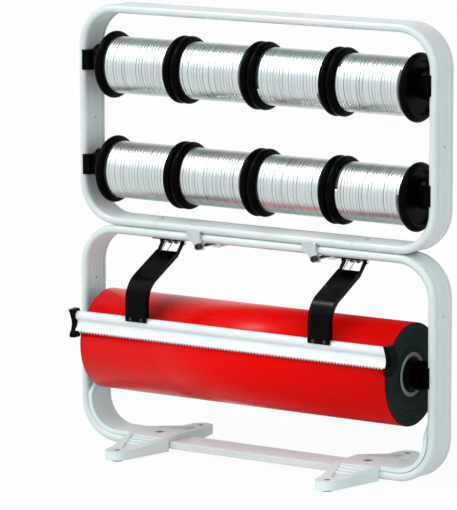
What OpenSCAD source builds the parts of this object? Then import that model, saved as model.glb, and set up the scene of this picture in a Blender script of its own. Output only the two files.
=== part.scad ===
// Counter-top dispenser for gift-wrap paper and ribbon spools.
// X runs along the rolls, -Y is the customer side, Z is up, z = 0 is the counter.

/* [Paper width] */
// width of the paper that the frames are made for, and length of its roll
roll_len = 500; // [400:10:600]

/* [Frames] */
// room beside the paper roll for a bearing and the band, on each side
side_room = 42; // [40:0.5:60]
// outside height of each frame
frame_h = 309.5; // [300:0.5:330]
// front-to-back depth of the band
band_depth = 50; // [46:1:60]
// thickness of the band at its beads
band_t = 12; // [11:0.5:13]
// outside radius of the frame corners
corner_r = 60; // [55:1:70]
// height of the lower frame above the counter
lower_z = 5; // [4:0.5:6]
// gap between the two stacked frames
frame_gap = 0.4; // [0.3:0.1:1]
// distance of each closing seam of the upper frame from the middle
seam_x = 161; // [150:1:175]
// radius of the accessory holes in the side bands
side_hole_r = 1.75; // [1:0.25:2.5]
// height of the accessory hole above the underside of each frame, lower frame
lower_hole_h = 228; // [220:1:235]
// height of the accessory hole above the underside of each frame, upper frame
upper_hole_h = 146; // [140:1:155]

/* [Feet] */
// distance of each foot from the middle
foot_x = 173; // [165:1:185]
// distance of each toe hole from the middle of the band
toe_y = 102; // [90:1:120]
// radius of the toe ends
toe_r = 17; // [15:1:20]
// half width of the foot at the band
foot_half = 33; // [30:1:36]
// top of the toe above the counter
toe_top = 15; // [13:0.5:16]
// top of the foot deck above the counter
deck_top = 23; // [21:0.5:26]
// thickness of the rubber pads that show below the foot
pad_h = 3; // [2:0.5:4]
// radius of the rubber pads
pad_r = 9; // [7:0.5:11]
// thickness of the arm that lies inside the band corner
strap_t = 6; // [4:0.5:8]
// top of that arm above the counter
strap_top = 98; // [85:1:110]
// thickness of the cross bar
bar_t = 10.5; // [8:0.5:12]

/* [Paper roll] */
// outside radius of the paper
roll_r = 70.5; // [50:0.5:71]
// outside radius of the cardboard core
core_r = 30; // [28:0.5:34]
// wall of the cardboard core
core_wall = 5; // [3:0.5:6]
// height of the roll axis above the counter
roll_z = 152; // [145:1:155]
// roll axis in front of the middle of the band
roll_fwd = 12; // [10:0.5:13]
// radius of the rods
rod_r = 6; // [5:0.5:6]

/* [Ribbon spools] */
// spool flange radius
flange_r = 47; // [44:0.5:49]
// width of each rounded flange
flange_w = 11.5; // [9:0.5:12]
// free room at each end of a row of spools
spool_play = 4; // [2:0.5:6]
// gap between neighbouring spools
spool_gap = 0.4; // [0.3:0.1:0.6]
// radius of the bore of a spool
spool_bore_r = 13; // [11:0.5:14]
// radius over the ribbon
ribbon_r = 40; // [39.5:0.25:41]
// number of turns of ribbon in the outer layer
ribbon_turns = 10; // [8:1:10]
// least space between two turns of ribbon
turn_gap = 0.55; // [0.45:0.05:0.8]
// upper spool axis below the top of the upper frame
upper_row_drop = 86.4; // [80:0.2:90]
// lower spool axis above the underside of the upper frame
lower_row_h = 76.1; // [70:0.1:80]
// shift of the spools along their rods
spool_shift = 3; // [-3:0.5:3]

/* [Tear-off rail] */
// how far the rail reaches past the paper at each end
rail_over = 4; // [2:0.5:6]
// thickness of each end cap along the rail
cap_t = 8; // [5:0.5:10]
// distance of each arm from the middle
arm_x = 150; // [140:1:160]
// width of each arm
arm_w = 35; // [30:1:40]
// sheet thickness of the arms and brackets
sheet_t = 2; // [1.5:0.25:2]
// depth of the arm side flanges
flange_d = 8; // [7:0.5:9]
// slope of the upper stretch of the arm below the level
arm_slope = 27; // [25:1:29]
// outside radius of the arm elbow
elbow_r = 40; // [35:1:45]
// bracket width along the rail
bracket_w = 44; // [42:1:50]
// pitch of the teeth of the cutting blade
tooth_pitch = 5; // [4:1:10]

/* [Clamps] */
// distance of each clamp from the middle
clamp_x = 95; // [85:1:105]
// width of each clamp
clamp_w = 22; // [18:1:26]
// thickness of the clamp jaws
jaw_t = 4; // [3:0.5:5]

/* [Hidden] */

seat_clear = 0.05;
run_clear = 0.05;
free_gap = 0.4;

frame_grey = [0.80, 0.85, 0.84];
cast_grey = [0.84, 0.89, 0.88];
rail_white = [0.93, 0.96, 0.96];
steel = [0.75, 0.78, 0.79];
black = [0.06, 0.07, 0.07];
silver = [0.80, 0.82, 0.83];
red = [0.90, 0.02, 0.02];
board = [0.35, 0.40, 0.38];

frame_w = roll_len + 2 * side_room;
rail_len = roll_len + 2 * rail_over;
bead_r = band_t / 2;
bead_y = band_depth / 2 - bead_r;
web_t = band_t - 1;
groove_y = bead_y - 2.5;
groove_w = 1;
groove_d = 0.8;
rib_pitch = 6;
rib_groove = 0.5;
bend_r = corner_r - bead_r;
band_x = frame_w / 2 - bead_r;
inner_x = frame_w / 2 - band_t;
upper_z = lower_z + frame_h + frame_gap;
band_under = lower_z + frame_h - band_t;

foot_under = pad_h;
strap_r = corner_r - band_t;
strap_depth = band_depth - 4;
strap_steps = 30;
band_end_x = foot_x - 16;
bar_end_x = band_end_x - 0.4;
bar_depth = band_depth - 2;
bar_z = lower_z + band_t - bar_t;
toe_hole_r = 2.5;

core_bore_r = core_r - core_wall;
plug_in = 35;
cone_r = 22;
cone_tip_r = 16;
hub_face_x = inner_x - 22;
rod_end_x = inner_x - 4.5;
hub_r = 22;
roll_hub_r = 20;
block_h = 28;
block_x = inner_x - 8;
nose_t = 2;
nose_round = 4;
nose_tip_round = 2;
nose_end = band_x - 1;
slot_r = rod_r + run_clear;

upper_spool_z = upper_z + frame_h - upper_row_drop;
lower_spool_z = upper_z + lower_row_h;
spool_drop = spool_bore_r - rod_r - free_gap;
spools_in_row = 4;
spool_pitch = 2 * (hub_face_x - spool_play) / spools_in_row;
spool_w = spool_pitch - spool_gap;
barrel_r = flange_r - flange_w - 2 * seat_clear;
barrel_wall = 2.4;
flange_wall = 3;
winding_w = spool_w - 2 * flange_w - 0.8;
ribbon_t = 0.8;
ribbon_core_r = 38;
ribbon_core_wall = 1.5;
ring_per_turn = 11;
turn_pitch = (winding_w + turn_gap) / (ribbon_turns + 1);
ribbon_w = turn_pitch - turn_gap;

pin_y = 2;
pin_z = band_under - 6.5;
pin_r = 1.8;
arm_front = -(roll_fwd + roll_r + 7);
rail_bead_r = 6.5;
rail_bead_y = arm_front + sheet_t + rail_bead_r;
rail_top = roll_z + 48;
rail_bead_z = rail_top - rail_bead_r;
arm_foot_z = rail_top - 5;
slope_y = -6;
slope_z = pin_z - 7;
turn_a = 90 - arm_slope;
arm_corner_z = slope_z - (slope_y - arm_front) * tan(arm_slope);
bend_r_arm = min(elbow_r, (arm_corner_z - arm_foot_z - 2) / tan(turn_a / 2));
elbow_y = arm_front + bend_r_arm;
elbow_z = arm_corner_z - bend_r_arm * tan(turn_a / 2);
window_y = -14;
elbow_steps = 20;
ear_r = 3.6;
ear_w = 6.4;
lip_z = rail_top - 27.5;
lip_y = arm_front + 1.5;
blade_y = lip_y + 1.6;
blade_t = 0.8;
blade_len = roll_len;
tooth_h = 3;

curls = 3;
coil_r = 3;
wire_r = 0.5;
coil_pitch = 1.6;
coil_rings = 8;
wire_sides = 6;
leg_slope = arm_slope + 12;

shank_r = 2.5;
screw_z = band_under - 4;
jaw_in = band_depth / 2 + 0.1;

module yz(x, len) {
    translate([x, 0, 0]) rotate([90, 0, 90]) linear_extrude(len) children();
}

module xcyl(x, y, z, len, r1, r2) {
    translate([x, y, z]) rotate([0, 90, 0]) cylinder(h = len, r1 = r1, r2 = r2, $fn = 64);
}

module sided(s) {
    if (s > 0) children();
    else mirror([1, 0, 0]) children();
}

// ---------- frames ----------
module band_section() {
    difference() {
        union() {
            for (s = [-1, 1]) translate([0, s * bead_y]) circle(r = bead_r, $fn = 32);
            square([web_t, 2 * bead_y], center = true);
        }
        for (s = [-1, 1], f = [-1, 1])
            translate([f * web_t / 2, s * groove_y])
                square([2 * groove_d, groove_w], center = true);
        for (k = [-1, 0, 1], f = [-1, 1])
            translate([f * web_t / 2, k * rib_pitch])
                square([rib_groove, rib_groove], center = true);
    }
}

module band_x_run(x0, x1, z) {
    translate([x0, 0, z]) rotate([0, 90, 0]) linear_extrude(x1 - x0) band_section();
}

module band_side(s, z0, hole_h) {
    difference() {
        translate([s * band_x, 0, z0 + corner_r])
            linear_extrude(frame_h - 2 * corner_r) band_section();
        translate([s * band_x, 0, z0 + hole_h]) rotate([0, 90, 0])
            cylinder(h = band_t + 2, r = side_hole_r, center = true, $fn = 32);
    }
}

module band_corner(sx, sz, z0) {
    turn = sx > 0 ? (sz > 0 ? 0 : 270) : (sz > 0 ? 90 : 180);
    translate([sx * (frame_w / 2 - corner_r), 0,
        z0 + (sz > 0 ? frame_h - corner_r : corner_r)])
        rotate([90, 0, 0]) rotate([0, 0, turn])
            rotate_extrude(angle = 90, $fn = 96) translate([bend_r, 0]) band_section();
}

module frame_loop(z0, end_x, hole_h) {
    straight = frame_w / 2 - corner_r;
    for (s = [-1, 1]) {
        band_side(s, z0, hole_h);
        for (t = [-1, 1]) band_corner(s, t, z0);
    }
    band_x_run(-straight, straight, z0 + frame_h - bead_r);
    band_x_run(-straight, -end_x, z0 + bead_r);
    band_x_run(end_x, straight, z0 + bead_r);
}

module lower_frame() {
    color(frame_grey) difference() {
        frame_loop(lower_z, band_end_x, lower_hole_h);
        for (s = [-1, 1]) {
            translate([s * foot_x, 0, lower_z - 1])
                cylinder(h = band_t + 2, r = 3 + seat_clear, $fn = 32);
            for (k = [-1, 1]) translate([s * arm_x + k * 12, 0, band_under - 1])
                cylinder(h = 7, r = 2 + seat_clear, $fn = 24);
        }
    }
}

module upper_frame() {
    color(frame_grey) difference() {
        frame_loop(upper_z, seam_x, upper_hole_h);
        for (s = [-1, 1]) translate([s * (seam_x + 8), 0, upper_z + band_t - 5])
            cylinder(h = 6, r = 2 + seat_clear, $fn = 24);
    }
}

module upper_joint_bar() {
    color(frame_grey) {
        band_x_run(-seam_x + 0.2, seam_x - 0.2, upper_z + bead_r);
    }
}

module screw_up(x, y, z, head_r, head_h, r, len) {
    translate([x, y, z]) {
        cylinder(h = head_h, r = head_r, $fn = 32);
        translate([0, 0, head_h]) cylinder(h = len, r = r, $fn = 24);
    }
}

module frame_screws() {
    color(black) for (s = [-1, 1]) {
        // countersunk screw in the middle of each foot
        difference() {
            union() {
                translate([s * foot_x, 0, deck_top - 3.5])
                    cylinder(h = 3.5, r1 = 3, r2 = 6.5, $fn = 40);
                translate([s * foot_x, 0, lower_z]) cylinder(h = deck_top - lower_z - 3.5,
                    r = 3, $fn = 32);
            }
            translate([s * foot_x, 0, deck_top - 2]) cylinder(h = 3, r = 2.3, $fn = 6);
        }
        // small round-head screws beside the seams of the upper frame
        translate([s * (seam_x + 8), 0, upper_z + band_t - 4.5])
            cylinder(h = 4, r = 2, $fn = 24);
        translate([s * (seam_x + 8), 0, upper_z + band_t - 0.5])
            cylinder(h = 2, r1 = 4, r2 = 2.8, $fn = 32);
        // screws that hold the arm brackets up against the band
        for (k = [-1, 1])
            screw_up(s * arm_x + k * 12, 0, band_under - sheet_t - 1.2, 3.5, 1.2, 2,
                sheet_t + 5);
    }
}

module cross_bar() {
    color(frame_grey) difference() {
        union() {
            translate([-bar_end_x, -bar_depth / 2 + 2, bar_z])
                cube([2 * bar_end_x, bar_depth - 4, bar_t]);
            for (s = [-1, 1]) translate([-bar_end_x, s * (bar_depth / 2 - 2), bar_z + 2])
                rotate([0, 90, 0]) cylinder(h = 2 * bar_end_x, r = 2, $fn = 24);
            translate([-bar_end_x, -bar_depth / 2, bar_z + 2])
                cube([2 * bar_end_x, bar_depth, bar_t - 4]);
            for (s = [-1, 1])
                translate([-bar_end_x, s * (bar_depth / 2 - 2), bar_z + bar_t - 2])
                    rotate([0, 90, 0]) cylinder(h = 2 * bar_end_x, r = 2, $fn = 24);
        }
        for (s = [-1, 1], k = [-1, 1])
            translate([-bar_end_x - 1, s * bar_depth / 2 - groove_d / 2,
                bar_z + bar_t / 2 + k * 1.8])
                cube([2 * bar_end_x + 2, groove_d, groove_w]);
        for (k = [-2 : 2]) translate([-bar_end_x - 1, k * rib_pitch, bar_z + bar_t - groove_d])
            cube([2 * bar_end_x + 2, groove_w, groove_d + 1]);
    }
}

// ---------- feet ----------
module foot_plan(inset) {
    y1 = band_depth / 2 + 3;
    polygon([[-foot_half + inset, -y1], [-foot_half + inset, y1],
        [-toe_r + inset, toe_y], [toe_r - inset, toe_y],
        [foot_half - inset, y1], [foot_half - inset, -y1],
        [toe_r - inset, -toe_y], [-toe_r + inset, -toe_y]]);
    for (s = [-1, 1]) translate([0, s * toe_y]) circle(r = toe_r - inset, $fn = 64);
}

module foot_side(lift) {
    y1 = band_depth / 2 + 1;
    polygon([[-toe_y - toe_r - 1, foot_under - 1], [toe_y + toe_r + 1, foot_under - 1],
        [toe_y + toe_r + 1, toe_top + lift], [toe_y - toe_r, toe_top + lift],
        [y1, deck_top + lift], [-y1, deck_top + lift],
        [-toe_y + toe_r, toe_top + lift], [-toe_y - toe_r - 1, toe_top + lift]]);
}

module foot_panel(s) {
    // sunken triangular panel between the rims
    y0 = band_depth / 2 + 6;
    polygon([[-foot_half + 8, s * y0], [foot_half - 8, s * y0],
        [4, s * (toe_y - toe_r + 2)], [-4, s * (toe_y - toe_r + 2)]]);
}

// side view of the arm's face at radius r, from inside the foot to the upright
function strap_path(cx, cz, r) = concat([[foot_half - 4, cz - r]],
    [for (i = [0 : strap_steps]) [cx + r * cos(270 + 90 * i / strap_steps),
        cz + r * sin(270 + 90 * i / strap_steps)]]);

module foot() {
    cx = frame_w / 2 - corner_r - foot_x;
    cz = lower_z + corner_r;
    difference() {
        union() {
            intersection() {
                translate([0, 0, foot_under]) linear_extrude(deck_top) foot_plan(0);
                yz(-foot_half - 1, 2 * foot_half + 2) foot_side(0);
            }
            // arm that runs out and up inside the corner of the band
            intersection() {
                translate([0, strap_depth / 2, 0]) rotate([90, 0, 0])
                    linear_extrude(strap_depth) polygon(concat(
                        strap_path(cx, cz, strap_r), [[cx + strap_r, strap_top],
                            [cx + strap_r - strap_t, strap_top]],
                        [for (i = [strap_steps + 1 : -1 : 0])
                            strap_path(cx, cz, strap_r - strap_t)[i]]));
                yz(0, cx + strap_r + 1)
                    polygon([[-strap_depth / 2 - 1, 0], [strap_depth / 2 + 1, 0],
                        [strap_depth / 2 + 1, cz + 4], [3, strap_top + 0.5],
                        [-3, strap_top + 0.5], [-strap_depth / 2 - 1, cz + 4]]);
            }
        }
        // channel for the band and the cross bar
        translate([-foot_half - 1, -band_depth / 2 - seat_clear, foot_under - 1])
            cube([2 * foot_half + 2, band_depth + 2 * seat_clear,
                lower_z + band_t - foot_under + 1]);
        // sunken panels on top with ribs across them
        for (s = [-1, 1]) difference() {
            intersection() {
                translate([0, 0, foot_under]) linear_extrude(deck_top) foot_panel(s);
                difference() {
                    yz(-foot_half, 2 * foot_half) foot_side(1);
                    yz(-foot_half - 1, 2 * foot_half + 2) foot_side(-2);
                }
            }
            for (k = [0 : 2])
                translate([-foot_half, s * (band_depth / 2 + 14 + 11 * k) - 1, foot_under])
                    cube([2 * foot_half, 2, deck_top - 4 + 1.2 - 2.1 * k]);
        }
        // hollow under each leg, with a boss left round the toe screw
        for (s = [-1, 1]) difference() {
            intersection() {
                translate([0, 0, foot_under - 1]) linear_extrude(deck_top) foot_plan(3.5);
                yz(-foot_half, 2 * foot_half) foot_side(-5.5);
                translate([-foot_half, s > 0 ? band_depth / 2 + 4 : -toe_y - toe_r,
                    foot_under - 1])
                    cube([2 * foot_half, toe_y + toe_r - band_depth / 2 - 4, deck_top]);
            }
            translate([0, s * toe_y, foot_under - 2]) cylinder(h = deck_top,
                r = pad_r + 1, $fn = 48);
        }
        // holes for the toe screws and the middle screw
        for (s = [-1, 1]) translate([0, s * toe_y, 0]) {
            cylinder(h = deck_top, r = toe_hole_r + seat_clear, $fn = 32);
            translate([0, 0, toe_top - 2.5])
                cylinder(h = 3, r1 = toe_hole_r + seat_clear, r2 = 5.55, $fn = 40);
        }
        cylinder(h = deck_top + 1, r = 3 + seat_clear, $fn = 32);
        translate([0, 0, deck_top - 3.5]) cylinder(h = 3.6, r1 = 3 + seat_clear, r2 = 6.65,
            $fn = 40);
    }
}

module left_foot() {
    color(cast_grey) translate([-foot_x, 0, 0]) mirror([1, 0, 0]) foot();
}

module right_foot() {
    color(cast_grey) translate([foot_x, 0, 0]) foot();
}

module foot_pads() {
    color(black) for (s = [-1, 1], t = [-1, 1]) translate([s * foot_x, t * toe_y, 0])
        difference() {
            union() {
                cylinder(h = 1, r1 = pad_r - 1, r2 = pad_r, $fn = 48);
                translate([0, 0, 1]) cylinder(h = pad_h - 1, r = pad_r, $fn = 48);
            }
            translate([0, 0, 1]) cylinder(h = pad_h, r = toe_hole_r + seat_clear, $fn = 32);
        }
}

module toe_screws() {
    color(black) for (s = [-1, 1], t = [-1, 1]) translate([s * foot_x, t * toe_y, 0])
        difference() {
            union() {
                translate([0, 0, 1.2]) cylinder(h = toe_top - 2.5, r = toe_hole_r, $fn = 32);
                translate([0, 0, toe_top - 2.5]) cylinder(h = 2.2, r1 = toe_hole_r,
                    r2 = toe_hole_r + 2.2, $fn = 40);
            }
            translate([0, 0, toe_top - 1.8]) cylinder(h = 3, r = 1.6, $fn = 6);
        }
}

// ---------- clamps between the frames ----------
module clamp_front() {
    top = upper_z + band_t * 0.35;
    low = screw_z - shank_r - 2.5;
    difference() {
        union() {
            translate([-clamp_w / 2, -jaw_in - jaw_t, band_under + band_t * 0.65])
                cube([clamp_w, jaw_t + bead_r * 0.6, top - band_under - band_t * 0.65]);
            translate([0, -jaw_in, 0]) rotate([90, 0, 0]) linear_extrude(jaw_t)
                polygon([[-clamp_w / 2, band_under + band_t * 0.65 + 0.01],
                    [clamp_w / 2, band_under + band_t * 0.65 + 0.01],
                    [clamp_w / 2 + 6, screw_z], [clamp_w / 2 + 6, low],
                    [clamp_w / 2 - 6, low], [-2, band_under + 1],
                    [-clamp_w / 2, band_under + 5]]);
        }
        for (z = [band_under + bead_r, upper_z + bead_r])
            xcyl(-clamp_w, -bead_y, z, 2 * clamp_w, bead_r + seat_clear, bead_r + seat_clear);
        translate([clamp_w / 2, 0, screw_z]) rotate([90, 0, 0])
            cylinder(h = band_depth, r = shank_r + run_clear, $fn = 40);
    }
}

module clamp_back() {
    top = upper_z + band_t * 0.35;
    low = screw_z - shank_r - 3.5;
    difference() {
        union() {
            translate([-clamp_w / 2, jaw_in - bead_r * 0.6, band_under + band_t * 0.65])
                cube([clamp_w, jaw_t + bead_r * 0.6, top - band_under - band_t * 0.65]);
            translate([-clamp_w / 2, jaw_in, low])
                cube([clamp_w + 8, jaw_t, band_under + band_t * 0.65 - low + 0.01]);
            // tab that turns forward under the band
            translate([clamp_w / 2 - 4, 8, low]) cube([12, jaw_in - 8 + 0.01, 2]);
            translate([clamp_w / 2 - 4, 8, low]) cube([12, 3, screw_z - low + shank_r + 1]);
        }
        for (z = [band_under + bead_r, upper_z + bead_r])
            xcyl(-clamp_w, bead_y, z, 2 * clamp_w, bead_r + seat_clear, bead_r + seat_clear);
        translate([clamp_w / 2, 0, screw_z]) rotate([-90, 0, 0])
            cylinder(h = band_depth, r = shank_r + run_clear, $fn = 40);
    }
}

module clamp_screw() {
    front = jaw_in + jaw_t + free_gap;
    translate([clamp_w / 2, 0, screw_z]) rotate([90, 0, 0]) {
        translate([0, 0, -jaw_in - jaw_t - 3]) cylinder(h = jaw_in + jaw_t + 3 + front,
            r = shank_r, $fn = 40);
        difference() {
            translate([0, 0, front]) cylinder(h = 6, r = 4.5, $fn = 48);
            for (a = [0 : 60 : 300]) rotate([0, 0, a]) translate([5, 0, front - 1])
                cylinder(h = 8, r = 1.2, $fn = 24);
            translate([0, 0, front + 4]) cylinder(h = 3, r = 2, $fn = 6);
        }
    }
}

module left_clamp_front() {
    color(steel) translate([-clamp_x, 0, 0]) clamp_front();
}

module right_clamp_front() {
    color(steel) translate([clamp_x, 0, 0]) clamp_front();
}

module left_clamp_back() {
    color(steel) translate([-clamp_x, 0, 0]) clamp_back();
}

module right_clamp_back() {
    color(steel) translate([clamp_x, 0, 0]) clamp_back();
}

module left_clamp_screw() {
    color(black) translate([-clamp_x, 0, 0]) clamp_screw();
}

module right_clamp_screw() {
    color(black) translate([clamp_x, 0, 0]) clamp_screw();
}

// ---------- arms, hinge and springs ----------
module arm_bracket() {
    ear_x = arm_w / 2 + free_gap;
    plate_top = band_under;
    difference() {
        union() {
            translate([-bracket_w / 2, -17, plate_top - sheet_t])
                cube([bracket_w, 36, sheet_t]);
            for (s = [-1, 1]) yz(s > 0 ? ear_x : -ear_x - sheet_t, sheet_t) union() {
                translate([pin_y, pin_z]) circle(r = ear_r, $fn = 40);
                translate([pin_y - ear_r, pin_z])
                    square([2 * ear_r, plate_top - sheet_t - pin_z + 0.01]);
            }
        }
        xcyl(-bracket_w / 2, pin_y, pin_z, bracket_w, pin_r + seat_clear, pin_r + seat_clear);
        for (k = [-1, 1]) translate([k * 12, 0, plate_top - sheet_t - 1])
            cylinder(h = sheet_t + 2, r = 2 + seat_clear, $fn = 24);
    }
}

module hinge_pin() {
    half = arm_w / 2 + free_gap + sheet_t;
    xcyl(-half, pin_y, pin_z, 2 * half, pin_r, pin_r);
    for (s = [-1, 1]) xcyl(s > 0 ? half : -half - 1.2, pin_y, pin_z, 1.2,
        pin_r + 1, pin_r + 1);
}

// side view of the arm: its outer face, moved inwards by d
function on_slope(y, d) = [y + d * sin(arm_slope),
    slope_z + (y - slope_y) * tan(arm_slope) - d * cos(arm_slope)];
function arm_path(d, z0) = concat([[arm_front + d, z0]],
    [for (i = [0 : elbow_steps]) let (a = 180 - turn_a * i / elbow_steps)
        [elbow_y, elbow_z] + (bend_r_arm - d) * [cos(a), sin(a)]],
    [on_slope(window_y, d)]);

module arm_wall(d0, d1, z0, x, len) {
    inner = arm_path(d1, z0);
    yz(x, len) polygon(concat(arm_path(d0, z0),
        [for (i = [len(inner) - 1 : -1 : 0]) inner[i]]));
}

module arm() {
    difference() {
        union() {
            // the face laps the front of the rail below its side flanges
            arm_wall(0, sheet_t, arm_foot_z, -arm_w / 2, arm_w);
            for (s = [-1, 1]) let (x = s > 0 ? arm_w / 2 - sheet_t : -arm_w / 2) {
                arm_wall(sheet_t / 2, flange_d, arm_foot_z + 6, x, sheet_t);
                // ears that carry the arm up to the hinge pin
                yz(x, sheet_t) union() {
                    translate([pin_y, pin_z]) circle(r = ear_r, $fn = 40);
                    polygon([on_slope(window_y - 6, 1), on_slope(window_y + 2.4, 1),
                        [pin_y - 1.8, pin_z + 3.1], [pin_y + 2.4, pin_z - 2.6],
                        on_slope(window_y + 1, flange_d - 1),
                        on_slope(window_y - 6, flange_d - 1)]);
                }
            }
        }
        xcyl(-arm_w, pin_y, pin_z, 2 * arm_w, pin_r + run_clear, pin_r + run_clear);
        for (k = [-1, 1]) translate([k * 9, arm_front - 1, arm_foot_z + 3])
            rotate([-90, 0, 0]) cylinder(h = sheet_t + 2, r = 1.5 + seat_clear, $fn = 24);
    }
}

module left_arm_bracket() {
    color(black) translate([-arm_x, 0, 0]) arm_bracket();
}

module right_arm_bracket() {
    color(black) translate([arm_x, 0, 0]) arm_bracket();
}

module left_hinge_pin() {
    color(steel) translate([-arm_x, 0, 0]) hinge_pin();
}

module right_hinge_pin() {
    color(steel) translate([arm_x, 0, 0]) hinge_pin();
}

module left_arm() {
    color(black) translate([-arm_x, 0, 0]) arm();
}

module right_arm() {
    color(black) translate([arm_x, 0, 0]) arm();
}

module arm_rivets() {
    color(black) for (s = [-1, 1], k = [-1, 1])
        translate([s * arm_x + k * 9, arm_front, arm_foot_z + 3]) rotate([-90, 0, 0]) {
            cylinder(h = sheet_t + 2, r = 1.5, $fn = 24);
            translate([0, 0, -0.8]) cylinder(h = 0.8, r1 = 1.8, r2 = 2.6, $fn = 32);
        }
}

module tube(rings) {
    n = len(rings);
    m = len(rings[0]);
    polyhedron(points = [for (r = rings) each r],
        faces = concat([[for (j = [0 : m - 1]) j]],
            [for (i = [0 : n - 2], j = [0 : m - 1])
                [i * m + j, (i + 1) * m + j, (i + 1) * m + (j + 1) % m, i * m + (j + 1) % m]],
            [[for (j = [m - 1 : -1 : 0]) (n - 1) * m + j]]), convexity = 10);
}

function wire_ring(c, u, v) = [for (j = [0 : wire_sides - 1])
    c + wire_r * (cos(360 / wire_sides * j) * u + sin(360 / wire_sides * j) * v)];

// one leg runs down onto the arm, the other back under the bracket
coil_a0 = 90 + leg_slope;
coil_turn = 360 * curls + leg_slope;
coil_n = round(coil_turn / 360 * coil_rings);
function coil_dir(a) = [0, cos(a), sin(a)];
function coil_at(x0, i) = let (a = coil_a0 - coil_turn * i / coil_n)
    [x0 + coil_pitch * coil_turn / 360 * i / coil_n, pin_y, pin_z] + coil_r * coil_dir(a);
function coil_tan(i) = let (a = coil_a0 - coil_turn * i / coil_n) [0, sin(a), -cos(a)];
function coil_ring(x0, i, along) =
    wire_ring(coil_at(x0, i) + along * coil_tan(i), [1, 0, 0],
        coil_dir(coil_a0 - coil_turn * i / coil_n));
function spring_rings(x0) = concat([coil_ring(x0, 0, -24)],
    [for (i = [0 : coil_n]) coil_ring(x0, i, 0)], [coil_ring(x0, coil_n, 12)]);

module springs() {
    for (x0 = [-7.6, 2.6]) tube(spring_rings(x0));
}

module left_springs() {
    color(black) translate([-arm_x, 0, 0]) springs();
}

module right_springs() {
    color(black) translate([arm_x, 0, 0]) springs();
}

// ---------- tear-off rail ----------
module rail_section() {
    union() {
        translate([rail_bead_y, rail_bead_z]) circle(r = rail_bead_r, $fn = 48);
        polygon([[rail_bead_y - 5, rail_bead_z - 2], [lip_y + 5, rail_bead_z - 8],
            [lip_y + 4.6, rail_bead_z - 11], [lip_y + 3, rail_bead_z - 15.5],
            [lip_y, lip_z + 1.8], [lip_y, lip_z],
            [lip_y + 3.8, lip_z], [lip_y + 7.2, lip_z + 5.5],
            [lip_y + 9.4, lip_z + 11.5], [rail_bead_y + 5, rail_bead_z - 2]]);
    }
}

module tear_rail() {
    color(rail_white) difference() {
        yz(-rail_len / 2, rail_len) rail_section();
        translate([-blade_len / 2 - seat_clear, blade_y - seat_clear, lip_z - 1])
            cube([blade_len + 2 * seat_clear, blade_t + 2 * seat_clear, 4.5]);
        for (s = [-1, 1], k = [-1, 1])
            translate([s * arm_x + k * 9, arm_front, arm_foot_z + 3]) rotate([-90, 0, 0])
                cylinder(h = sheet_t + 2.2, r = 1.5 + seat_clear, $fn = 24);
        // the bead is a tube
        xcyl(-rail_len / 2 - 1, rail_bead_y, rail_bead_z, rail_len + 2,
            rail_bead_r - 2.5, rail_bead_r - 2.5);
    }
}

module tear_blade() {
    teeth = floor(blade_len / tooth_pitch);
    half = blade_len / 2;
    color(steel) translate([0, blade_y + blade_t, 0]) rotate([90, 0, 0])
        linear_extrude(blade_t)
            polygon(concat([[half, lip_z + 3.4], [-half, lip_z + 3.4], [-half, lip_z]],
                [for (i = [0 : teeth - 1]) each [
                    [-half + tooth_pitch * (i + 0.5), lip_z - tooth_h],
                    [-half + tooth_pitch * (i + 1), lip_z]]]));
}

module rail_cap() {
    // s-shaped side plate with a plug in the bead of the rail
    f = arm_front;
    foot_z = rail_top - 37;
    yz(rail_len / 2, cap_t) polygon([[f - 3.5, rail_top + 2.5], [f + 11, rail_top + 3.5],
        [f + 18, rail_top - 6], [f + 22, rail_top - 16], [f + 20.5, rail_top - 24],
        [f + 14, foot_z + 4], [f + 12.5, foot_z],
        [f - 1.5, foot_z], [f - 1.5, foot_z + 5], [f + 2, foot_z + 10],
        [f + 4, rail_top - 20], [f + 3.5, rail_top - 14], [f + 1, rail_top - 7],
        [f - 1.5, rail_top - 1.5]]);
    xcyl(rail_len / 2 - rail_over, rail_bead_y, rail_bead_z, rail_over + 0.01,
        rail_bead_r - 2.5 - seat_clear, rail_bead_r - 2.5 - seat_clear);
}

module left_rail_cap() {
    color(black) mirror([1, 0, 0]) rail_cap();
}

module right_rail_cap() {
    color(black) rail_cap();
}

// ---------- paper roll ----------
module paper_roll() {
    color(red) difference() {
        xcyl(-roll_len / 2, -roll_fwd, roll_z, roll_len, roll_r, roll_r);
        xcyl(-roll_len / 2 - 1, -roll_fwd, roll_z, roll_len + 2,
            core_r + seat_clear, core_r + seat_clear);
    }
}

module paper_core() {
    color(board) difference() {
        xcyl(-roll_len / 2, -roll_fwd, roll_z, roll_len, core_r, core_r);
        xcyl(-roll_len / 2 - 1, -roll_fwd, roll_z, roll_len + 2, core_bore_r, core_bore_r);
    }
}

module cone() {
    end_x = roll_len / 2;
    r_in = core_bore_r - seat_clear;
    translate([0, -roll_fwd, roll_z]) difference() {
        union() {
            xcyl(end_x - plug_in, 0, 0, 4, r_in - 3, r_in);
            xcyl(end_x - plug_in + 4, 0, 0, plug_in - 5, r_in, r_in);
            xcyl(end_x - 1, 0, 0, hub_face_x - free_gap - end_x + 1, cone_r, cone_tip_r);
        }
        // hollow behind the rim, with a hub round the rod
        difference() {
            xcyl(end_x - plug_in - 1, 0, 0, plug_in - 5, r_in - 3, r_in - 3);
            xcyl(end_x - plug_in - 1, 0, 0, plug_in, rod_r + 3, rod_r + 3);
        }
        xcyl(end_x - plug_in - 1, 0, 0, hub_face_x - end_x + plug_in + 2, slot_r, slot_r);
    }
}

module left_cone() {
    color(black) mirror([1, 0, 0]) cone();
}

module right_cone() {
    color(black) cone();
}

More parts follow.
